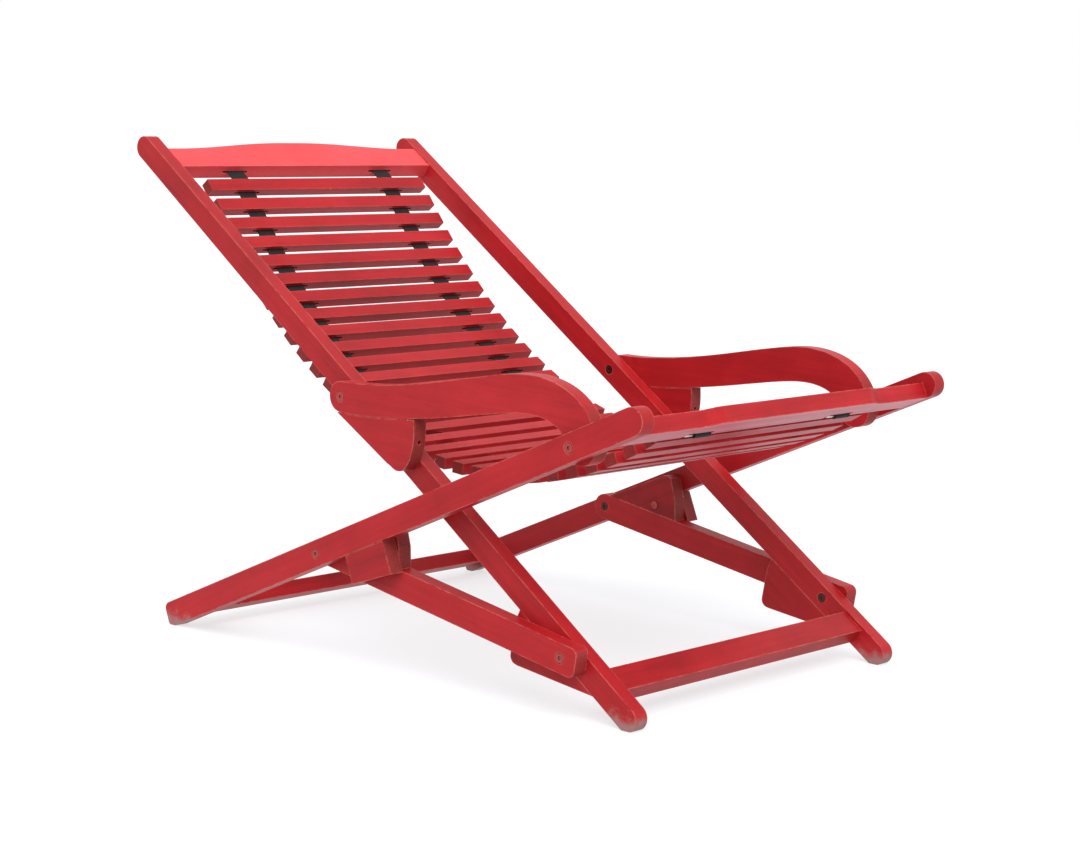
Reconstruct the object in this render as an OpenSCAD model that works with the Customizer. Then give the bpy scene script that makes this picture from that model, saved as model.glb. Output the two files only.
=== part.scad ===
// Folding deck chair: two crossing board frames, linked by armrests and struts,
// with a sling of wooden slats strung on two webbing straps.
// Side views are drawn as (u, z): u runs forward, z runs up. The chair faces -Y.

/* [Overall] */
// Width over the outside of the seat rails
chair_w = 640; // [560:5:720]
// Thickness of the boards that make every frame part
board_t = 22; // [18:1:24]
// Air gap between boards that slide past each other
layer_gap = 0.6; // [0.4:0.1:1]

/* [Linkage] */
// Distance between the two pivots of a back rail, and of a seat rail
frame_span = 506; // [490:1:520]
// Distance between the two pivots of an armrest, and of a strut
link_span = 443; // [430:1:455]
// Angle of the back rails above the floor
back_lean = 35; // [32:0.5:38]
// Angle between armrest and back rail when the chair is open
arm_angle = 32.6; // [31:0.1:34]

/* [Rails] */
// Depth of a back rail, seen from the side
back_rail_d = 33; // [30:1:36]
// Depth of a seat rail, seen from the side
seat_rail_d = 36; // [32:1:38]
// Back rail beyond its top pivot, to the centre of the round end
back_rail_top = 566; // [540:1:590]
// Back rail below its lower pivot, to the centre of the round end
back_rail_foot = 113.5; // [108:0.5:120]
// Seat rail in front of its front pivot, to the centre of the round end
seat_rail_tip = 109; // [100:1:115]
// Corner radius of a seat rail's rear foot
seat_foot_r = 10; // [6:1:14]
// How much of each foot is worn to a flat on the floor
foot_wear = 1.5; // [0.5:0.1:2.5]

/* [Cross rails] */
// Crest rail: its lower edge, measured up the back rail from the lower pivot
crest_low = 1006; // [990:1:1010]
// Crest rail: depth at its ends
crest_d = 44; // [40:1:48]
// Crest rail: rise of its arched top edge in the middle
crest_arch = 15; // [6:1:18]
// Front rail: its rear edge, measured along the seat rail from the rear pivot
front_low = 566; // [563:1:570]
// Front rail: depth at its ends
front_d = 48; // [44:1:54]
// Front rail: rise of its arched front edge in the middle
front_arch = 10; // [4:1:12]
// Rear cross rail: its front edge, measured back from the rear pivot
rear_rail_front = 296; // [290:1:300]
// Depth of the rear cross rail
rear_rail_d = 40; // [36:1:42]
// Foot stretcher: its upper edge, measured down from the lower pivot
stretcher_top = 41; // [38:1:46]
// Depth of the foot stretcher
stretcher_d = 38; // [34:1:42]

/* [Armrests and struts] */
// Half depth of an armrest at its rear end
arm_rear_r = 21; // [19.5:0.5:23]
// Half depth of an armrest at its hump and front end
arm_front_r = 25; // [23:0.5:27]
// Height of the armrest's hump above the line between its pivots
arm_hump = 52; // [46:1:55]
// Half depth of a strut
strut_r = 19.5; // [18:0.5:20]
// How far a strut runs forward past its front pivot
strut_tip = 27; // [24:0.5:28]

/* [Sling] */
// Number of slats
slat_count = 30; // [30:1:30]
// Length of a slat
slat_l = 436; // [400:2:460]
// Width of a slat, along the sling
slat_w = 20; // [18:0.2:21]
// Thickness of a slat
slat_t = 16; // [12:0.5:17]
// Distance from slat to slat along the sling
slat_pitch = 34.88; // [34.8:0.01:34.95]
// Distance from crest rail to the middle of the first slat
sling_lead = 31.5; // [30:0.5:33]
// Sideways distance of each strap from the middle
strap_x = 148; // [130:1:160]
// Width of the webbing
strap_w = 32; // [26:1:36]
// Thickness of the webbing
strap_t = 1.6; // [1.2:0.1:2]
// Length of the slots that the straps run through
slot_l = 48; // [40:1:52]
// Height of those slots
slot_h = 4; // [3:0.5:5]

/* [Hardware] */
// Radius of the pivot bolts
bolt_r = 3.95; // [3.5:0.05:4.5]
// Radial clearance of the bolts in their holes
bolt_play = 0.05; // [0.03:0.01:0.09]
// Radius of the bolt heads
head_r = 6.5; // [6:0.1:7.5]
// Thickness of the bolt heads
head_t = 1.8; // [1.5:0.1:2]
// Radius of the strap pins
pin_r = 1.7; // [1.5:0.1:2.5]

/* [Hidden] */
$fn = 64;
sides = ["right", "left"];
function side_of(name) = name == "right" ? -1 : 1;

function dir(a) = [cos(a), sin(a)];
function lies(o, a, along, off) = o + along * dir(a) + off * dir(a + 90);

// Layers, from the outside in: seat rails, armrests and struts, back rails
outer_x = chair_w / 2;
seat_in = outer_x - board_t;
arm_out = seat_in - layer_gap;
arm_in = arm_out - board_t;
back_out = arm_in - layer_gap;
back_in = back_out - board_t;

// The four pivots form a crossed linkage with two equal long and two equal short sides.
// Its two angles are tied by tan(arm_angle / 2) * tan(seat_angle / 2) = link_ratio.
link_ratio = (frame_span - link_span) / (frame_span + link_span);
function far_angle(a) = 2 * atan(link_ratio / tan(a / 2));
seat_angle = far_angle(arm_angle);

back_dir = 180 - back_lean;
arm_dir = arm_angle - back_lean;
seat_dir = arm_dir + seat_angle;
strut_dir = back_dir + seat_angle;

// Pivots: top of back rail, front of seat rail, rear of seat rail, foot of back rail
pivot_foot = [0, back_rail_foot * sin(back_lean) + back_rail_d / 2 - foot_wear];
pivot_back = pivot_foot + frame_span * dir(back_dir);
pivot_front = pivot_back + link_span * dir(arm_dir);
pivot_rear = pivot_foot + link_span * dir(strut_dir);

// Extent front to back, which puts the origin in the middle of the chair's box
back_tip = pivot_back + back_rail_top * dir(back_dir);
seat_tip = pivot_front + seat_rail_tip * dir(seat_dir);
rear_u = back_tip[0] - back_rail_d / 2;
front_u = seat_tip[0] + seat_rail_d / 2;
middle_u = (rear_u + front_u) / 2;

// Rear end of a seat rail, so that its worn corner meets the floor
foot_corner_off = seat_rail_d / 2 - seat_foot_r;
foot_corner = (pivot_rear[1] - foot_corner_off * cos(seat_dir) - seat_foot_r + foot_wear)
    / sin(seat_dir);
seat_rail_rear = foot_corner + seat_foot_r;

// Boards lie flush with the lower faces of their rails
crest_off = -back_rail_d / 2 + board_t / 2 + 2;
stretcher_off = -back_rail_d / 2 + board_t / 2 + 4;
front_off = -seat_rail_d / 2 + board_t / 2;
rear_rail_off = 1;

// Sling: slope of each slat as a smooth curve from the crest rail to the front rail
slope_knots = [-52.5, -50.4, -32.4, -5.8, 10.3, 34.8];
function blend(k, t) =
    len(k) == 1 ? k[0]
    : blend([for (i = [0:len(k) - 2]) k[i] * (1 - t) + k[i + 1] * t], t);
function slope(i) = blend(slope_knots, i / slat_count);
lead_slope = -45;
strap_depth = 20;
crest_exit = lies(pivot_foot, back_dir, crest_low, crest_off);
slats = [for (i = 0, c = crest_exit + sling_lead * dir(lead_slope);
    i < slat_count;
    c = c + slat_pitch * dir(slope(i + 0.5)), i = i + 1) c];

// Webbing: in at the crest rail, straight through every slat, into the front rail
pocket_s = front_low + 7.5;
pocket_l = 16;
pocket_n = front_off - 1;
pocket_far = 19;
pocket_near = 33;
pocket_pin = 0.5;
strap_line = concat(
    [lies(crest_exit, back_dir, strap_depth, 0), crest_exit],
    [for (i = [0:slat_count - 1]) for (e = [-1, 1]) slats[i] + e * slat_w / 2 * dir(slope(i))],
    [lies(pivot_rear, seat_dir, front_low, front_off),
     lies(pivot_rear, seat_dir, pocket_s - 3, front_off)]);

play = bolt_r + bolt_play;
head_seat_r = head_r + 0.7;
head_seat_t = head_t;

// Gap between a stop block and the moving part that comes to rest on it
block_gap = 0.5;

// Places a side view: drawn in (u, z), as thick as the space from x0 to x1
module plate(x0, x1) {
    translate([x1, middle_u, 0])
        rotate([90, 0, -90])
            linear_extrude(x1 - x0)
                children();
}

// The same for a board of one side, between an inner and an outer distance from the middle
module side_plate(side, inner, outer) {
    plate(side > 0 ? inner : -outer, side > 0 ? outer : -inner)
        children();
}

// Turns children so that x runs along a rail from a pivot
module along(o, a) {
    translate(o)
        rotate(a)
            children();
}

// Bar from x0 to x1, with each end rounded about those points
module bar(x0, x1, r) {
    translate([x0, -r])
        square([x1 - x0, 2 * r]);
    translate([x0, 0])
        circle(r);
    translate([x1, 0])
        circle(r);
}

// Cuts a bolt hole through a board, with a seat for the bolt head on one face
module bolt_hole(p, side, inner, outer, seat_outside) {
    seat_x = seat_outside ? outer - head_seat_t : inner - 1;
    side_plate(side, inner - 1, outer + 1)
        translate(p)
            circle(play);
    side_plate(side, seat_x, seat_x + head_seat_t + 1)
        translate(p)
            circle(head_seat_r);
}

module plain_hole(p, side, inner, outer) {
    side_plate(side, inner - 1, outer + 1)
        translate(p)
            circle(play);
}

// Everything under the floor line, to be cut off worn feet
module under_floor() {
    translate([-chair_w, -2000, -100])
        cube([2 * chair_w, 4000, 100]);
}

module back_rail(side) {
    color("firebrick")
        difference() {
            side_plate(side, back_in, back_out)
                along(pivot_foot, back_dir)
                    bar(-back_rail_foot, frame_span + back_rail_top, back_rail_d / 2);
            bolt_hole(pivot_back, side, back_in, back_out, false);
            bolt_hole(pivot_foot, side, back_in, back_out, false);
            under_floor();
        }
}

// Seat rail: round tip, and a squarer rear foot with rounded corners
module seat_rail(side) {
    tip = frame_span + seat_rail_tip;
    color("firebrick")
        difference() {
            side_plate(side, seat_in, outer_x)
                along(pivot_rear, seat_dir) {
                    translate([-foot_corner, -seat_rail_d / 2])
                        square([foot_corner + tip, seat_rail_d]);
                    translate([-seat_rail_rear, -foot_corner_off])
                        square([seat_rail_rear, 2 * foot_corner_off]);
                    translate([tip, 0])
                        circle(seat_rail_d / 2);
                    for (e = [-1, 1])
                        translate([-foot_corner, e * foot_corner_off])
                            circle(seat_foot_r);
                }
            bolt_hole(pivot_rear, side, seat_in, outer_x, true);
            bolt_hole(pivot_front, side, seat_in, outer_x, true);
            under_floor();
        }
}

// A board across the chair: outline in (x, distance along the rail), laid in the rail's plane
module across(o, a, off) {
    translate([0, middle_u - o[0], o[1]])
        rotate([a, 0, 180])
            translate([0, 0, off - board_t / 2])
                linear_extrude(board_t)
                    children();
}

// Outline with straight lower edge. The top edge is flat at its ends and swells over a
// stretch next to them; both lengths are shares of half the rail.
module arched(half, low, depth, rise, flat, climb) {
    steps = 96;
    function swell(t) = rise * (1 - cos(180 * min(1, max(0, (1 - abs(t) - flat) / climb)))) / 2;
    polygon(concat(
        [[-half, low], [half, low]],
        [for (i = [steps:-1:0])
            let (t = 2 * i / steps - 1)
            [half * t, low + depth + swell(t)]]));
}

// Pocket in a rail's edge that a strap runs into
module strap_slot(low, depth) {
    for (e = [-1, 1])
        translate([e * strap_x - slot_l / 2, low - 1])
            square([slot_l, depth + 1]);
}

module crest_rail() {
    color("indianred")
        difference() {
            across(pivot_foot, back_dir, crest_off)
                arched(back_in, crest_low, crest_d, crest_arch, 0.06, 0.86);
            slot_in(pivot_foot, back_dir, crest_off, crest_low, strap_depth + 5);
        }
}

module slot_in(o, a, off, low, depth) {
    translate([0, middle_u - o[0], o[1]])
        rotate([a, 0, 180])
            translate([0, 0, off - slot_h / 2])
                linear_extrude(slot_h)
                    strap_slot(low, depth);
}

module front_rail() {
    color("indianred")
        difference() {
            across(pivot_rear, seat_dir, front_off)
                arched(seat_in, front_low, front_d, front_arch, 0.36, 0.12);
            slot_in(pivot_rear, seat_dir, front_off, front_low, 14);
            translate([0, middle_u - pivot_rear[0], pivot_rear[1]])
                rotate([seat_dir, 0, 180])
                    translate([0, 0, -seat_rail_d])
                        linear_extrude(seat_rail_d + pocket_n + 4)
                            strap_pocket();
        }
}

// Opening in the underside of the front rail, where each strap is pinned
module strap_pocket() {
    for (e = [-1, 1])
        translate([e * strap_x - pocket_far, pocket_s - pocket_l / 2])
            square([pocket_far + pocket_near, pocket_l]);
}

module rear_cross_rail() {
    color("brown")
        across(pivot_rear, seat_dir, rear_rail_off)
            translate([-seat_in, -rear_rail_front - rear_rail_d])
                square([2 * seat_in, rear_rail_d]);
}

module foot_stretcher() {
    color("brown")
        across(pivot_foot, back_dir, stretcher_off)
            translate([-back_in, -stretcher_top - stretcher_d])
                square([2 * back_in, stretcher_d]);
}

// Armrest: its middle line is two smooth curves through the hump
arm_line = [[0, 0], [150, 0], [288, arm_hump], [355, arm_hump]];
arm_drop = [[355, arm_hump], [404, arm_hump], [438, 32], [link_span, 0]];
arm_steps = 24;
function bezier(k, t) =
    len(k) == 1 ? k[0]
    : bezier([for (i = [0:len(k) - 2]) k[i] * (1 - t) + k[i + 1] * t], t);
function tangent(k, t) = bezier([for (i = [0:2]) k[i + 1] - k[i]], t);
function arm_mid(t) = t < 1 ? bezier(arm_line, t) : bezier(arm_drop, t - 1);
function arm_way(t) = t < 1 ? tangent(arm_line, t) : tangent(arm_drop, t - 1);
function arm_half(t) = arm_rear_r + (arm_front_r - arm_rear_r) * sin(90 * min(t, 1));
function arm_edge(t, e) =
    let (w = arm_way(t))
    arm_mid(t) + e * arm_half(t) * [-w[1], w[0]] / norm(w);

function turn_of(w) = atan2(w[1], w[0]);
arm_rear_turn = turn_of(arm_way(0));
arm_front_turn = turn_of(arm_way(2));

// One outline all round: upper edge, front round, lower edge, rear round
module armrest_outline() {
    polygon(concat(
        [for (i = [0:2 * arm_steps]) arm_edge(i / arm_steps, 1)],
        [for (a = [80:-10:-80]) [link_span, 0] + arm_front_r * dir(arm_front_turn + a)],
        [for (i = [2 * arm_steps:-1:0]) arm_edge(i / arm_steps, -1)],
        [for (a = [-100:-10:-260]) arm_rear_r * dir(arm_rear_turn + a)]));
}

module armrest(side) {
    color("firebrick")
        difference() {
            side_plate(side, arm_in, arm_out)
                along(pivot_back, arm_dir)
                    armrest_outline();
            bolt_hole(pivot_back, side, arm_in, arm_out, true);
            bolt_hole(pivot_front, side, arm_in, arm_out, false);
        }
}

// Square-cut in front with rounded corners, fully round behind
strut_corner = 10;
module strut_outline() {
    polygon(concat(
        [[link_span, -strut_r], [link_span, strut_r]],
        [for (a = [90:10:180]) strut_corner_at(1) + strut_corner * dir(a)],
        [for (a = [180:10:270]) strut_corner_at(-1) + strut_corner * dir(a)]));
    translate([link_span, 0])
        circle(strut_r);
}
function strut_corner_at(e) = [strut_corner - strut_tip, e * (strut_r - strut_corner)];

module strut(side) {
    color("firebrick")
        difference() {
            side_plate(side, arm_in, arm_out)
                along(pivot_foot, strut_dir)
                    strut_outline();
            bolt_hole(pivot_foot, side, arm_in, arm_out, true);
            bolt_hole(pivot_rear, side, arm_in, arm_out, false);
        }
}

// Block on the back rail that the armrest rests on. Its rear edge is nearly parallel
// to the back rail, so that a folding strut can come up close to it.
arm_block_l = 145.6;
arm_block_nose = [[arm_block_l, -10.8], [151, -52], [136, -74]];
arm_block_chin = [[136, -74], [122, -93], [100, -76]];
arm_block_rear = back_dir + 4.7;
function from_arm(p) = lies(pivot_back, arm_dir, p[0], p[1]);
function on_rear_edge(p) =
    lies(pivot_foot, arm_block_rear, (from_arm(p) - pivot_foot) * dir(arm_block_rear), -strut_r);
screw_hole_r = 3;
module arm_block(side) {
    color("firebrick")
        difference() {
            arm_block_board(side);
            translate([side * (arm_in + arm_out) / 2, middle_u - from_arm([158, -41])[0],
                from_arm([158, -41])[1]])
                rotate([90 - arm_dir, 0, 180])
                    translate([0, 0, -1])
                        cylinder(h = 20, r = screw_hole_r);
        }
}

module arm_block_board(side) {
    color("firebrick")
        side_plate(side, arm_in, arm_out)
            polygon(concat(
                [on_rear_edge([-4.5, -arm_rear_r - 1.5])],
                [for (a = [-96, -92]) from_arm((arm_rear_r + block_gap) * dir(a))],
                [for (i = [0:arm_steps])
                    let (p = arm_edge(i / arm_steps, -1))
                    if (p[0] > 1 && p[0] < arm_block_l - 4) from_arm(p - [0, block_gap])],
                [for (t = [0:0.1:1]) from_arm(bezier(arm_block_nose, t))],
                [for (t = [0.1:0.1:0.9]) from_arm(bezier(arm_block_chin, t))],
                [on_rear_edge([98, -75])]));
}

module heel_block(side) {
    color("brown")
        side_plate(side, back_in, back_out)
            along(pivot_foot, back_dir) {
                polygon([[-57, back_rail_d / 2], [100, back_rail_d / 2], [97, 34], [83, 64],
                    [77.5, 75.4], [61.2, 79.3]]);
                translate([68, 70])
                    circle(11);
            }
}

// Wedge on top of the strut, inside the seat rail. Its outline is drawn along that rail.
wedge_outline = [[-60, 13.5], [132.5, 11.3], [139.3, 8.6], [145.6, 2.8], [140.6, -32.2],
    [127, -68], [-60, -68]];
module strut_block(side) {
    color("brown")
        side_plate(side, arm_in, arm_out)
            along(pivot_rear, strut_dir - 180)
                difference() {
                    rotate(arm_angle)
                        polygon(wedge_outline);
                    translate([-100, -200])
                        square([400, 200 + strut_r]);
                    translate([-100, -50])
                        square([106, 200]);
                }
}

// Block on the outside of strut and wedge: the seat rail comes down on it when the
// chair is opened
module under_block(side) {
    color("brown")
        side_plate(side, arm_out, outer_x)
            along(pivot_rear, seat_dir)
                polygon([[58, -seat_rail_d / 2 - block_gap], [57, -58], [136.5, -65],
                    [137, -seat_rail_d / 2 - block_gap]]);
}

// Bolt along X: head outside, shank inwards, with a hex socket
module bolt(p, side, head_x, shank_x) {
    difference() {
        union() {
            side_plate(side, head_x - head_t, head_x)
                translate(p)
                    circle(head_r);
            side_plate(side, shank_x, head_x - head_t)
                translate(p)
                    circle(bolt_r);
        }
        side_plate(side, head_x - 1.3, head_x + 1)
            translate(p)
                circle(2.9, $fn = 6);
    }
}

// Sleeve nut along X: flange on the inner face, sleeve outwards to meet the bolt
module sleeve_nut(p, side, flange_x, sleeve_x) {
    difference() {
        union() {
            side_plate(side, flange_x, flange_x + head_t)
                translate(p)
                    circle(head_r);
            side_plate(side, flange_x + head_t, sleeve_x)
                translate(p)
                    circle(bolt_r);
        }
        side_plate(side, flange_x - 1, flange_x + 1.3)
            translate(p)
                circle(2.9, $fn = 6);
    }
}

// Bolt and sleeve nut through two boards
module pivot_pair(p, outer_face, inner_face) {
    meet = inner_face + 0.35 * (outer_face - inner_face);
    color("dimgray")
        for (s = [-1, 1]) {
            bolt(p, s, outer_face, meet);
            sleeve_nut(p, s, inner_face, meet);
        }
}

module back_pivot_bolts() pivot_pair(pivot_back, arm_out, back_in);
module foot_pivot_bolts() pivot_pair(pivot_foot, arm_out, back_in);
module rear_pivot_bolts() pivot_pair(pivot_rear, outer_x, arm_in);

module front_pivot_bolts() {
    color("dimgray")
        for (s = [-1, 1])
            bolt(pivot_front, s, outer_x, seat_in);
}

module front_pivot_nuts() {
    color("dimgray")
        for (s = [-1, 1])
            sleeve_nut(pivot_front, s, arm_in, arm_out);
}

// Screws that hold the wedges to the blocks on their outside
screw_at = lies(pivot_rear, seat_dir, 100, -26);
module block_screws() {
    color("dimgray")
        for (s = [-1, 1])
            difference() {
                side_plate(s, arm_in - 1.2, arm_in)
                    translate(screw_at)
                        circle(5.6);
                side_plate(s, arm_in - 2, arm_in - 0.4)
                    translate(screw_at)
                        circle(2.2, $fn = 6);
            }
}

// Pins that hold the strap ends
module strap_pins(p, near, far) {
    color("silver")
        for (s = [-1, 1])
            plate(s * strap_x - near, s * strap_x + far)
                translate(p)
                    circle(pin_r);
}

module crest_strap_pins()
    strap_pins(lies(crest_exit, back_dir, strap_depth + pin_r + 0.01, 0), slot_l / 2, slot_l / 2);
module front_strap_pins()
    strap_pins(lies(pivot_rear, seat_dir, pocket_s - 1, pocket_pin - seat_rail_d / 2),
        pocket_near, pocket_far);

module slat(i) {
    color(i % 2 == 0 ? "indianred" : "firebrick")
        difference() {
            plate(-slat_l / 2, slat_l / 2)
                along(slats[i], slope(i))
                    square([slat_w, slat_t], center = true);
            for (e = [-1, 1])
                plate(e * strap_x - slot_l / 2, e * strap_x + slot_l / 2)
                    along(slats[i], slope(i))
                        square([slat_w + 2, slot_h], center = true);
        }
}

function way(p, i) =
    let (a = p[max(0, i - 1)], b = p[min(len(p) - 1, i + 1)])
    (b - a) / norm(b - a);
function edge_of(p, i, e) = p[i] + e * strap_t / 2 * [-way(p, i)[1], way(p, i)[0]];

module strap(side) {
    n = len(strap_line) - 1;
    color("dimgray")
        plate(side * strap_x - strap_w / 2, side * strap_x + strap_w / 2)
            polygon(concat(
                [for (i = [0:n]) edge_of(strap_line, i, 1)],
                [for (i = [n:-1:0]) edge_of(strap_line, i, -1)]));
}

for (s = sides) {
    back_rail(side_of(s));
    arm_block(side_of(s));
    heel_block(side_of(s));
    seat_rail(side_of(s));
    strut_block(side_of(s));
    under_block(side_of(s));
    armrest(side_of(s));
    strut(side_of(s));
    strap(side_of(s));
}
crest_rail();
foot_stretcher();
front_rail();
rear_cross_rail();
back_pivot_bolts();
foot_pivot_bolts();
rear_pivot_bolts();
front_pivot_bolts();
front_pivot_nuts();
block_screws();
crest_strap_pins();
front_strap_pins();
for (i = [1:slat_count])
    slat(i - 1);
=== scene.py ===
"""Folding deck chair: materials, webbing, light and camera on the solid model's frame."""

import math

import bmesh
import bpy
from mathutils import Matrix, Vector


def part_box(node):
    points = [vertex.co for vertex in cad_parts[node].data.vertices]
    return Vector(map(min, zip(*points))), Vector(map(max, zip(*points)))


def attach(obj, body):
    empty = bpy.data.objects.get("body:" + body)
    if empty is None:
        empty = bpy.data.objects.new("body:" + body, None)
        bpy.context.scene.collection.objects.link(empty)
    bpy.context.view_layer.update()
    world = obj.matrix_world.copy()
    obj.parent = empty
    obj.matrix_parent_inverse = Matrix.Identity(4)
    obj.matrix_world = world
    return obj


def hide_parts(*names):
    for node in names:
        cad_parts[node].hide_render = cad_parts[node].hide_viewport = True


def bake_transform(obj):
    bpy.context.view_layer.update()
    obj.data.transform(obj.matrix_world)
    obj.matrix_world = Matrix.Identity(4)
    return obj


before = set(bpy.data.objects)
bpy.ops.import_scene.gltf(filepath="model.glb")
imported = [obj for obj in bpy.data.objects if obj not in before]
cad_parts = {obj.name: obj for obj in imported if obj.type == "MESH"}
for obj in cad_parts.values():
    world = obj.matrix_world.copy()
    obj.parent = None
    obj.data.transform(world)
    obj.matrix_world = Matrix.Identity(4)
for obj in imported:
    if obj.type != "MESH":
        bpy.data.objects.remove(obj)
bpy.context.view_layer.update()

MM = 0.001
SIDES = ("right", "left")
SLATS = sorted((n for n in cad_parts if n.startswith("slat_")), key=lambda n: int(n[5:]))


# ---------------------------------------------------------------- places from the frame

def centre(node):
    low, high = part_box(node)
    return (low + high) / 2


def side_plane(point):
    """The same point in the chair's middle plane."""
    return Vector((0, point[1], point[2]))


pivot_back = side_plane(centre("back_pivot_bolts"))
pivot_foot = side_plane(centre("foot_pivot_bolts"))
pivot_rear = side_plane(centre("rear_pivot_bolts"))
pivot_front = side_plane(centre("front_pivot_bolts"))
up_back = (pivot_back - pivot_foot).normalized()
along_seat = (pivot_front - pivot_rear).normalized()


def lean(direction):
    """Angle about X that turns +Y onto a direction in the side plane."""
    return math.atan2(direction.z, direction.y)


def slat_axes(node):
    """Middle of a slat and the direction of its width, towards the front."""
    points = [v.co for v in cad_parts[node].data.vertices]
    mid = centre(node)
    yy = sum((p.y - mid.y) ** 2 for p in points)
    zz = sum((p.z - mid.z) ** 2 for p in points)
    yz = sum((p.y - mid.y) * (p.z - mid.z) for p in points)
    angle = math.atan2(2 * yz, yy - zz) / 2
    width = Vector((0, math.cos(angle), math.sin(angle)))
    return side_plane(mid), -width if width.y > 0 else width


# ---------------------------------------------------------------- shader helpers

class Shader:
    """A material whose nodes are made and linked by short calls."""

    def __init__(self, name):
        self.material = bpy.data.materials.new(name)
        self.material.use_nodes = True
        self.tree = self.material.node_tree
        self.bsdf = self.tree.nodes["Principled BSDF"]

    def node(self, kind, **settings):
        made = self.tree.nodes.new(kind)
        for key, value in settings.items():
            setattr(made, key, value)
        return made

    def put(self, socket, value):
        if isinstance(value, bpy.types.NodeSocket):
            self.tree.links.new(value, socket)
        elif value is not None:
            socket.default_value = value

    def math(self, operation, a, b=None, c=None, clamp=False):
        n = self.node("ShaderNodeMath", operation=operation, use_clamp=clamp)
        for socket, value in zip(n.inputs, (a, b, c)):
            self.put(socket, value)
        return n.outputs[0]

    def vector(self, operation, a, b=None, scale=None):
        n = self.node("ShaderNodeVectorMath", operation=operation)
        self.put(n.inputs[0], a)
        self.put(n.inputs[1], b)
        if scale is not None:
            self.put(n.inputs["Scale"], scale)
        return n.outputs["Value" if operation == "DOT_PRODUCT" else "Vector"]

    def noise(self, where, scale, detail=4, rough=0.55, distortion=0.0):
        n = self.node("ShaderNodeTexNoise")
        self.put(n.inputs["Vector"], where)
        self.put(n.inputs["Scale"], scale)
        self.put(n.inputs["Detail"], detail)
        self.put(n.inputs["Roughness"], rough)
        self.put(n.inputs["Distortion"], distortion)
        return n.outputs["Fac"]

    def ramp(self, value, low, high, smooth=True):
        """0 below low, 1 above high."""
        n = self.node("ShaderNodeMapRange", interpolation_type="SMOOTHSTEP" if smooth else "LINEAR")
        self.put(n.inputs["Value"], value)
        self.put(n.inputs["From Min"], low)
        self.put(n.inputs["From Max"], high)
        return n.outputs[0]

    def mix(self, share, a, b, blend="MIX"):
        n = self.node("ShaderNodeMix", data_type="RGBA", blend_type=blend)
        self.put(n.inputs[0], share)
        self.put(n.inputs[6], a if isinstance(a, bpy.types.NodeSocket) else (*a, 1))
        self.put(n.inputs[7], b if isinstance(b, bpy.types.NodeSocket) else (*b, 1))
        return n.outputs[2]

    def bump(self, height, strength, distance, normal=None):
        n = self.node("ShaderNodeBump")
        self.put(n.inputs["Height"], height)
        self.put(n.inputs["Strength"], strength)
        self.put(n.inputs["Distance"], distance)
        self.put(n.inputs["Normal"], normal)
        return n.outputs[0]

    def edges(self, radius):
        """How far the surface turns within a radius: 0 on flats, towards 1 on edges."""
        n = self.node("ShaderNodeBevel", samples=4)
        self.put(n.inputs["Radius"], radius)
        flat = self.node("ShaderNodeNewGeometry").outputs["Normal"]
        facing = self.vector("DOT_PRODUCT", n.outputs[0], flat)
        return self.math("SUBTRACT", 1.0, facing)

    def place(self):
        return self.node("ShaderNodeTexCoord").outputs["Object"]

    def set(self, **values):
        for key, value in values.items():
            self.put(self.bsdf.inputs[key.replace("_", " ")], value)


# ---------------------------------------------------------------- materials

DEEP_RED = (0.17, 0.004, 0.006)
RED = (0.31, 0.008, 0.011)
BRIGHT_RED = (0.43, 0.014, 0.018)
PALE_SHEEN_RED = (0.80, 0.09, 0.10)
END_GRAIN = (0.13, 0.022, 0.018)
BARE_EDGE = (0.58, 0.17, 0.13)
WORN_GREY = (0.24, 0.15, 0.14)


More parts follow.
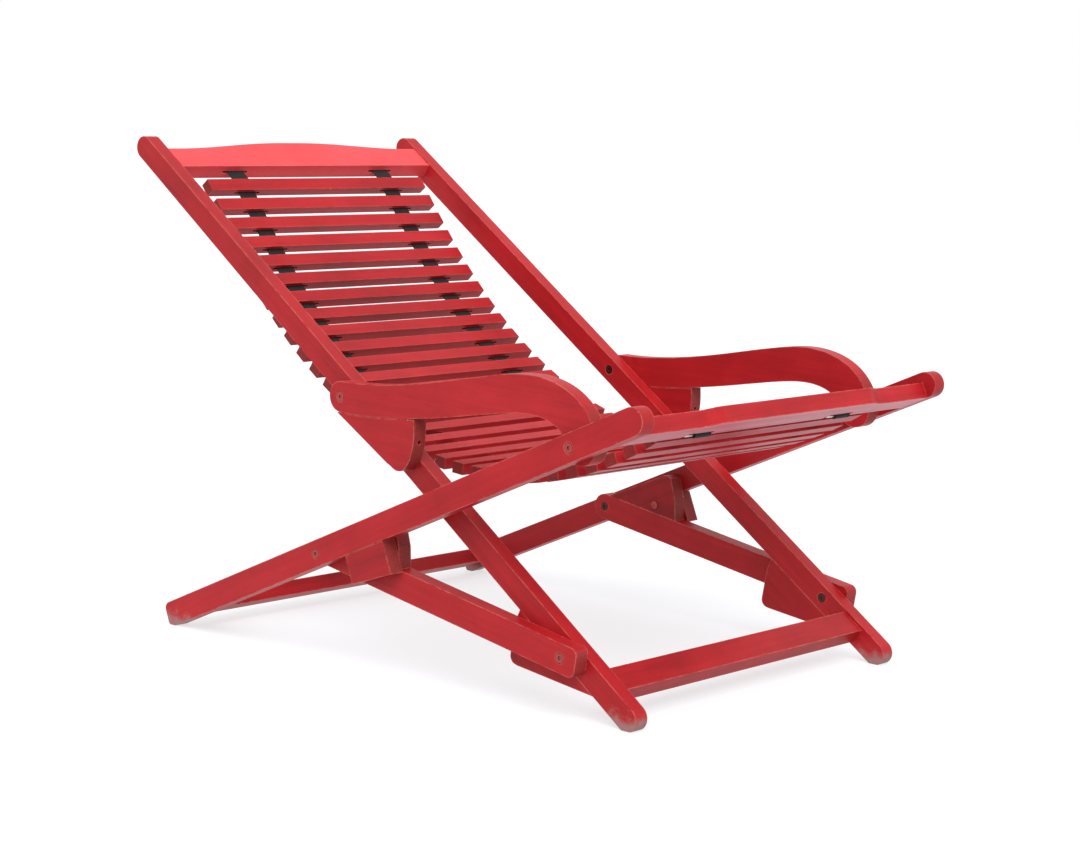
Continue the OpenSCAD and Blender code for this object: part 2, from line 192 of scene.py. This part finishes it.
def wood(name, direction=None, tone=0.5, foot=False, brown_ends=0.8, painted_under_sheen=0.0,
         pale_coat_and_sheen=0.0, wear=0.7):
    """Red-stained wood. Its grain runs along a direction in the side plane, or along X.

    tone: how bright the stain is; foot: the board stands on the floor and its end is scuffed;
    brown_ends, painted_under_sheen, lift, wear: shares of brown end grain (on the slats also
    painted shade), of a painted pink reflection on undersides, of a paler coat that partly paints a
    glossy sheen and of rubbed edges.
    """
    s = Shader(name)
    turn = s.node("ShaderNodeVectorRotate", rotation_type="X_AXIS")
    s.put(turn.inputs["Vector"], s.place())
    s.put(turn.inputs["Angle"], -lean(direction) if direction else 0.0)
    grain_first = (1, 0.045, 1) if direction else (0.045, 1, 1)
    stretched = s.vector("MULTIPLY", turn.outputs[0], grain_first)

    streaks = s.noise(stretched, 95, detail=6, rough=0.62, distortion=0.35)
    fibres = s.noise(stretched, 620, detail=3, rough=0.6)
    pores = s.noise(s.vector("MULTIPLY", turn.outputs[0],
                             (1, 0.02, 1) if direction else (0.02, 1, 1)), 900, detail=2)
    clouds = s.noise(s.place(), 9, detail=5, rough=0.6)
    blotches = s.noise(s.place(), 42, detail=4, rough=0.65)
    board = s.node("ShaderNodeObjectInfo").outputs["Random"]

    level = s.math("MULTIPLY_ADD", streaks, 0.6, -0.30 + tone)
    level = s.math("MULTIPLY_ADD", s.math("SUBTRACT", clouds, 0.5), 0.7, level)
    level = s.math("MULTIPLY_ADD", s.math("SUBTRACT", board, 0.5), 0.16, level, clamp=True)
    colour = s.mix(s.ramp(level, 0.05, 0.55), DEEP_RED, RED)
    colour = s.mix(s.ramp(level, 0.45, 0.95), colour, BRIGHT_RED)
    colour = s.mix(s.math("MULTIPLY", s.ramp(pores, 0.6, 0.72), 0.45), colour, (0.12, 0.006, 0.008))
    colour = s.mix(s.math("MULTIPLY", s.ramp(blotches, 0.62, 0.8), 0.25), colour, DEEP_RED)

    # End grain drinks more stain and shows brown; on the slats its share is raised so their ends
    # also carry painted shade
    cut = s.node("ShaderNodeVectorRotate", rotation_type="X_AXIS")
    s.put(cut.inputs["Vector"], s.node("ShaderNodeTexCoord").outputs["Normal"])
    s.put(cut.inputs["Angle"], -lean(direction) if direction else 0.0)
    axis = (0, 1, 0) if direction else (1, 0, 0)
    facing = s.math("ABSOLUTE", s.vector("DOT_PRODUCT", cut.outputs[0], axis))
    end = s.math("MULTIPLY", s.ramp(facing, 0.55, 0.92), brown_ends)
    speckle = s.noise(s.place(), 700, detail=2)
    end_colour = s.mix(s.ramp(speckle, 0.35, 0.65), END_GRAIN, (0.24, 0.03, 0.028))
    colour = s.mix(end, colour, end_colour)

    # Painted sheen: a paler, even coat, partly the crest's brighter stain and partly a painted
    # glossy highlight
    if pale_coat_and_sheen:
        even = s.math("MULTIPLY_ADD", s.ramp(clouds, 0.2, 0.8), 0.4, 0.6)
        colour = s.mix(s.math("MULTIPLY", even, pale_coat_and_sheen), colour, PALE_SHEEN_RED)

    if painted_under_sheen:
        # Painted reflection: faces turned downwards get a pale pink sheen, streaked with the grain,
        # in place of the pale floor's reflection
        under = s.node("ShaderNodeSeparateXYZ")
        s.put(under.inputs[0], s.node("ShaderNodeTexCoord").outputs["Normal"])
        down = s.ramp(s.math("MULTIPLY", under.outputs[2], -1.0), 0.72, 0.95)
        grain = s.math("MULTIPLY_ADD", s.ramp(streaks, 0.35, 0.65), 0.4, 0.6)
        sheen_mask = s.math("MULTIPLY", down, grain)
        colour = s.mix(s.math("MULTIPLY", sheen_mask, painted_under_sheen), colour, (0.62, 0.27, 0.33))

    # Rubbed edges and chips
    edge = s.edges(2.6 * MM)
    patchy = s.noise(s.place(), 60, detail=6, rough=0.7)
    rubbed = s.math("MULTIPLY", s.ramp(edge, 0.02, 0.16), s.ramp(patchy, 0.34, 0.58))
    colour = s.mix(s.math("MULTIPLY", rubbed, wear), colour, BARE_EDGE)
    wide_edge = s.ramp(s.edges(5 * MM), 0.02, 0.2)
    chip = s.math("MULTIPLY", wide_edge, s.ramp(s.noise(s.place(), 190, detail=3), 0.70, 0.74))
    colour = s.mix(chip, colour, (0.62, 0.42, 0.34))

    if foot:
        height = s.node("ShaderNodeSeparateXYZ")
        s.put(height.inputs[0], s.place())
        scuffed = s.math("MULTIPLY_ADD", s.math("SUBTRACT", patchy, 0.5), 0.05, height.outputs[2])
        worn = s.math("SUBTRACT", 1.0, s.ramp(scuffed, 0.004, 0.024))
        colour = s.mix(s.math("MULTIPLY", worn, 0.8), colour, WORN_GREY)

    gloss = s.math("MULTIPLY_ADD", fibres, 0.16, 0.30)
    gloss = s.math("MULTIPLY_ADD", blotches, 0.12, gloss)
    gloss = s.math("MULTIPLY_ADD", end, 0.25, gloss)
    relief = s.math("ADD", s.math("MULTIPLY", fibres, 0.5), s.math("MULTIPLY", streaks, 0.8))
    relief = s.math("SUBTRACT", relief, s.math("MULTIPLY", chip, 1.5))
    s.set(Base_Color=colour, Roughness=gloss, Normal=s.bump(relief, 0.35, 0.25 * MM),
          Specular_IOR_Level=0.17, Coat_Weight=0.02, Coat_Roughness=0.3)
    return s.material


def steel(name, colour, rough, painted=0.0, inner=None):
    """Turned steel, with what is left of a coat of red paint. Inner faces stay bare and dark."""
    s = Shader(name)
    scratch = s.noise(s.vector("MULTIPLY", s.place(), (0.2, 1, 1)), 900, detail=4)
    stain = s.noise(s.place(), 130, detail=5, rough=0.65)
    dull = s.mix(s.ramp(stain, 0.45, 0.7), colour, tuple(0.45 * c for c in colour))
    flaked = s.ramp(s.noise(s.place(), 210, detail=4), 0.5 - painted * 0.3, 0.62)
    cover = s.math("MULTIPLY", flaked, painted)
    edge = s.ramp(s.edges(0.8 * MM), 0.02, 0.2)
    cover = s.math("MULTIPLY", cover, s.math("SUBTRACT", 1.0, s.math("MULTIPLY", edge, 0.8)))
    if inner:
        where, facing = s.node("ShaderNodeSeparateXYZ"), s.node("ShaderNodeSeparateXYZ")
        s.put(where.inputs[0], s.place())
        s.put(facing.inputs[0], s.node("ShaderNodeTexCoord").outputs["Normal"])
        outside = s.ramp(s.math("MULTIPLY", where.outputs[0], facing.outputs[0]), -0.05, 0.05)
        dull = s.mix(outside, inner, dull)
        cover = s.math("MULTIPLY", cover, outside)
    s.set(Base_Color=s.mix(cover, dull, (0.33, 0.010, 0.013)),
          Metallic=s.math("SUBTRACT", 1.0, cover),
          Roughness=s.math("MULTIPLY_ADD", scratch, 0.2, rough),
          Normal=s.bump(s.math("ADD", scratch, cover), 0.25, 0.1 * MM))
    return s.material


def webbing_cloth(name):
    """Black polyester webbing: fine diagonal weave and a firm edge."""
    s = Shader(name)
    uv = s.node("ShaderNodeTexCoord").outputs["UV"]
    across = s.node("ShaderNodeSeparateXYZ")
    s.put(across.inputs[0], uv)
    x, y = across.outputs[0], across.outputs[1]

    def rib(a, b):
        run = s.math("ADD", s.math("MULTIPLY", x, a), s.math("MULTIPLY", y, b))
        return s.math("ABSOLUTE", s.math("SINE", run))

    weave = s.math("MULTIPLY", rib(3200, 2400), rib(3200, -2400))
    fuzz = s.noise(s.place(), 1500, detail=3)
    faded = s.noise(s.place(), 55, detail=4)
    colour = s.mix(weave, (0.003, 0.003, 0.0035), (0.014, 0.012, 0.013))
    colour = s.mix(s.math("MULTIPLY", s.ramp(faded, 0.45, 0.75), 0.3), colour, (0.03, 0.022, 0.022))
    relief = s.math("MULTIPLY_ADD", fuzz, 0.4, weave)
    s.set(Base_Color=colour, Roughness=s.math("MULTIPLY_ADD", fuzz, 0.2, 0.62),
          Sheen_Weight=0.04, Sheen_Roughness=0.5, Specular_IOR_Level=0.25,
          Normal=s.bump(relief, 0.6, 0.3 * MM))
    return s.material


def floor_paint(name):
    """Pale floor that stays white and still takes a faint shadow."""
    s = Shader(name)
    soft = s.noise(s.place(), 3, detail=2)
    tint = s.mix(soft, (0.25, 0.26, 0.28), (0.26, 0.27, 0.29))
    s.set(Base_Color=tint, Roughness=0.6, Specular_IOR_Level=0.1,
          Emission_Color=(1.0, 1.0, 1.0, 1.0), Emission_Strength=0.66)
    return s.material


strut_way = (pivot_rear - pivot_foot).normalized()
arm_way = (pivot_front - pivot_back).normalized()
WOODS = {
    "back_rail": wood("red_wood_back_rails", up_back, 0.52, foot=True, brown_ends=0.35),
    "seat_rail": wood("red_wood_seat_rails", along_seat, 0.52, foot=True, brown_ends=0.2),
    "armrest": wood("red_wood_armrests", arm_way, 0.55),
    "strut_block": wood("red_wood_wedges", along_seat, 0.30),
    "under_block": wood("red_wood_under_blocks", along_seat, 0.36),
    "arm_block": wood("red_wood_arm_blocks", arm_way, 0.45),
    "heel_block": wood("red_wood_heel_blocks", up_back, 0.36),
    "strut": wood("red_wood_struts", strut_way, 0.52, brown_ends=0.6),
    "crest_rail": wood("red_wood_crest", None, 0.66, pale_coat_and_sheen=0.6),
    "front_rail": wood("red_wood_front", None, 0.55, painted_under_sheen=0.55),
    "rear_cross_rail": wood("red_wood_rear", None, 0.42),
    "foot_stretcher": wood("red_wood_stretcher", None, 0.45),
    # the slats' browner ends are partly end grain and partly painted shade under the seat rails
    "slat": wood("red_wood_slats", None, 0.52, brown_ends=0.7, painted_under_sheen=0.3, wear=0.35),
}
bolt_metal = steel("bolt_metal", (0.24, 0.10, 0.08), 0.34, painted=1.0, inner=(0.09, 0.032, 0.028))
screw_metal = steel("screw_metal", (0.30, 0.12, 0.09), 0.36, painted=0.95)
pin_metal = steel("pin_metal", (0.66, 0.60, 0.56), 0.24)
webbing = webbing_cloth("black_webbing")


SHARP_TURN = 28
EASED_TURN = 35


def finish_cad(obj, material, width, segments=3):
    """Material, eased edges and smooth rounds on a solid part."""
    obj.data.materials.clear()
    obj.data.materials.append(material)
    for face in obj.data.polygons:
        face.use_smooth = True
    obj.data.set_sharp_from_angle(angle=math.radians(SHARP_TURN))
    ease = obj.modifiers.new("eased_edges", "BEVEL")
    ease.width = width
    ease.segments = segments
    ease.limit_method = "ANGLE"
    ease.angle_limit = math.radians(EASED_TURN)
    ease.harden_normals = True
    ease.miter_outer = "MITER_ARC"


for node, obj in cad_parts.items():
    if node.startswith("strap"):
        continue
    if "bolts" in node or "nuts" in node:
        finish_cad(obj, bolt_metal, 0.35 * MM, 2)
    elif "screws" in node:
        finish_cad(obj, screw_metal, 0.3 * MM, 2)
    elif "pins" in node:
        finish_cad(obj, pin_metal, 0.3 * MM, 2)
    else:
        kind = next(k for k in WOODS if node.startswith(k))
        finish_cad(obj, WOODS[kind], (1.0 if kind == "slat" else 1.5) * MM)


# ---------------------------------------------------------------- webbing

STRAP_HALF = 16 * MM
STRAP_THICK = 1.6 * MM
# How far a length of webbing reaches into a slat's slot
TUCK = 8 * MM
# From the crest pin down to where the webbing leaves the crest rail
CREST_TUCK = 22 * MM
# From the front pin back and up to where the webbing enters the front rail
FRONT_TUCK = 7.5 * MM
FRONT_RISE = 10.5 * MM
# Radius of the webbing's loop around the front pin, and the turn it makes there in degrees
LOOP_R = 3.6 * MM
LOOP_TURN = range(-50, 216, 14)
HALF_SLAT = 10 * MM


def curve(a, a_way, b, b_way, steps=10):
    """Points from a to b that leave along a_way and arrive along b_way."""
    reach = (b - a).length / 3
    knots = (a, a + a_way * reach, b - b_way * reach, b)
    return [(1 - t) ** 3 * knots[0] + 3 * t * (1 - t) ** 2 * knots[1]
            + 3 * t * t * (1 - t) * knots[2] + t ** 3 * knots[3]
            for t in (i / steps for i in range(steps + 1))]


def strip(name, side, path, body=None, other=None):
    """A length of webbing along side-plane points. It rides one body, or stays fixed in place when
    a second body is given.
    """
    mid_x = centre(f"strap_{side}").x
    half = STRAP_THICK / 2
    edge = [(-1, 0), (-0.97, 1), (0.97, 1), (1, 0), (0.97, -1), (-0.97, -1)]
    mesh = bmesh.new()
    uv = mesh.loops.layers.uv.new("along")
    rings, run = [], 0.0
    for i, p in enumerate(path):
        way = (path[min(i + 1, len(path) - 1)] - path[max(i - 1, 0)]).normalized()
        out = Vector((0, -way.z, way.y))
        run += (p - path[i - 1]).length if i else 0.0
        rings.append(([mesh.verts.new(Vector((mid_x + x * STRAP_HALF, 0, 0)) + p + out * (y * half))
                       for x, y in edge], run))
    count = len(edge)
    for (a, ra), (b, rb) in zip(rings, rings[1:]):
        for k in range(count):
            face = mesh.faces.new((a[k], a[(k + 1) % count], b[(k + 1) % count], b[k]))
            for loop, place in zip(face.loops, ((k, ra), (k + 1, ra), (k + 1, rb), (k, rb))):
                x = edge[place[0] % count][0] * STRAP_HALF
                loop[uv].uv = (x, place[1])
    mesh.faces.new(list(reversed(rings[0][0])))
    mesh.faces.new(rings[-1][0])
    bmesh.ops.recalc_face_normals(mesh, faces=mesh.faces)
    data = bpy.data.meshes.new(name)
    mesh.to_mesh(data)
    mesh.free()
    for face in data.polygons:
        face.use_smooth = True
    data.set_sharp_from_angle(angle=math.radians(50))
    data.materials.append(webbing)
    piece = bpy.data.objects.new(name, data)
    bpy.context.collection.objects.link(piece)
    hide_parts(f"strap_{side}")
    if other:
        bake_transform(piece)
    else:
        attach(piece, body)
    return piece


slat_frames = [slat_axes(n) for n in SLATS]
crest_pin = side_plane(centre("crest_strap_pins"))
front_pin = side_plane(centre("front_strap_pins"))
crest_mouth = crest_pin - up_back * CREST_TUCK
seat_up = Vector((0, -along_seat.z, along_seat.y))
seat_up = seat_up if seat_up.z > 0 else -seat_up
front_mouth = front_pin - along_seat * FRONT_TUCK + seat_up * FRONT_RISE

for side in SIDES:
    # From inside the crest rail to the first slat
    first, way = slat_frames[0]
    a, b = crest_mouth, first - way * HALF_SLAT
    path = [crest_pin + up_back * 2 * MM, (crest_pin + crest_mouth) / 2]
    path += curve(a, -up_back, b, way) + [b + way * TUCK]
    strip(f"webbing_top_{side}", side, path, "back_frame", "sling_01")

    # Across each gap
    for i, ((p, p_way), (q, q_way)) in enumerate(zip(slat_frames, slat_frames[1:]), start=1):
        a, b = p + p_way * HALF_SLAT, q - q_way * HALF_SLAT
        path = [a - p_way * TUCK] + curve(a, p_way, b, q_way) + [b + q_way * TUCK]
        strip(f"webbing_gap_{side}_{i:02d}", side, path, f"sling_{i:02d}")

    # The last length goes into the front rail, down through its underside and around a pin
    last, way = slat_frames[-1]
    count = len(SLATS)
    a = last + way * HALF_SLAT
    whole = curve(a, way, front_mouth, along_seat, 12)
    middle = len(whole) // 2
    strip(f"webbing_front_{side}", side, [a - way * TUCK] + whole[:middle + 1],
          f"sling_{count:02d}")
    loop = [front_pin + LOOP_R * (math.cos(t) * along_seat - math.sin(t) * seat_up)
            for t in (math.radians(k) for k in LOOP_TURN)]
    into = front_mouth + along_seat * 5 * MM
    bend = front_pin + along_seat * 3.0 * MM + seat_up * 7.1 * MM
    tail = [front_pin - along_seat * 4.0 * MM + seat_up * 4.0 * MM,
            front_pin - along_seat * 4.4 * MM + seat_up * 6.6 * MM]
    strip(f"webbing_loop_{side}", side, whole[middle:] + [into, bend] + loop + tail, "seat_frame")


# ---------------------------------------------------------------- floor, light and camera

def sun(name, at, strength, spread):
    """A wide soft sun that shines from a point towards the middle of the chair."""
    data = bpy.data.lights.new(name, "SUN")
    data.energy = strength
    data.angle = math.radians(spread)
    lamp = bpy.data.objects.new(name, data)
    bpy.context.collection.objects.link(lamp)
    lamp.location = at
    lamp.rotation_mode = "QUATERNION"
    lamp.rotation_quaternion = (-Vector(at)).to_track_quat("-Z", "Y")
    return lamp


def studio():
    """White surroundings, a pale floor and one soft key light from above the front right."""
    data = bpy.data.meshes.new("floor")
    half = 60.0
    corners = [(-half, -half, 0), (half, -half, 0), (half, half, 0), (-half, half, 0)]
    data.from_pydata(corners, [], [(0, 1, 2, 3)])
    data.materials.append(floor_paint("pale_floor"))
    floor = bpy.data.objects.new("floor", data)
    bpy.context.collection.objects.link(floor)
    world = bpy.data.worlds.new("studio")
    world.use_nodes = True
    world.node_tree.nodes["Background"].inputs[0].default_value = (1.0, 1.0, 1.0, 1)
    world.node_tree.nodes["Background"].inputs[1].default_value = 1.0
    bpy.context.scene.world = world
    sun("key", (-1.5, -1.8, 2.7), 3.0, 45)


def camera():
    """Stands in front of the chair, on the sitter's right, above the height of its back."""
    data = bpy.data.cameras.new("camera")
    data.sensor_width = 36
    data.lens = 77.35
    data.clip_start, data.clip_end = 0.05, 100
    cam = bpy.data.objects.new("camera", data)
    bpy.context.collection.objects.link(cam)
    turn, tilt, roll = 0.818, 0.137, 0.020
    cam.matrix_world = (
        Matrix.Translation((-2.3947, -2.2979, 0.7585))
        @ Matrix.Rotation(-turn, 4, "Z")
        @ Matrix.Rotation(math.pi / 2 - tilt, 4, "X")
        @ Matrix.Rotation(roll, 4, "Z"))
    bpy.context.scene.camera = cam


studio()
camera()
bpy.context.scene.view_settings.view_transform = "Standard"
bpy.context.view_layer.update()
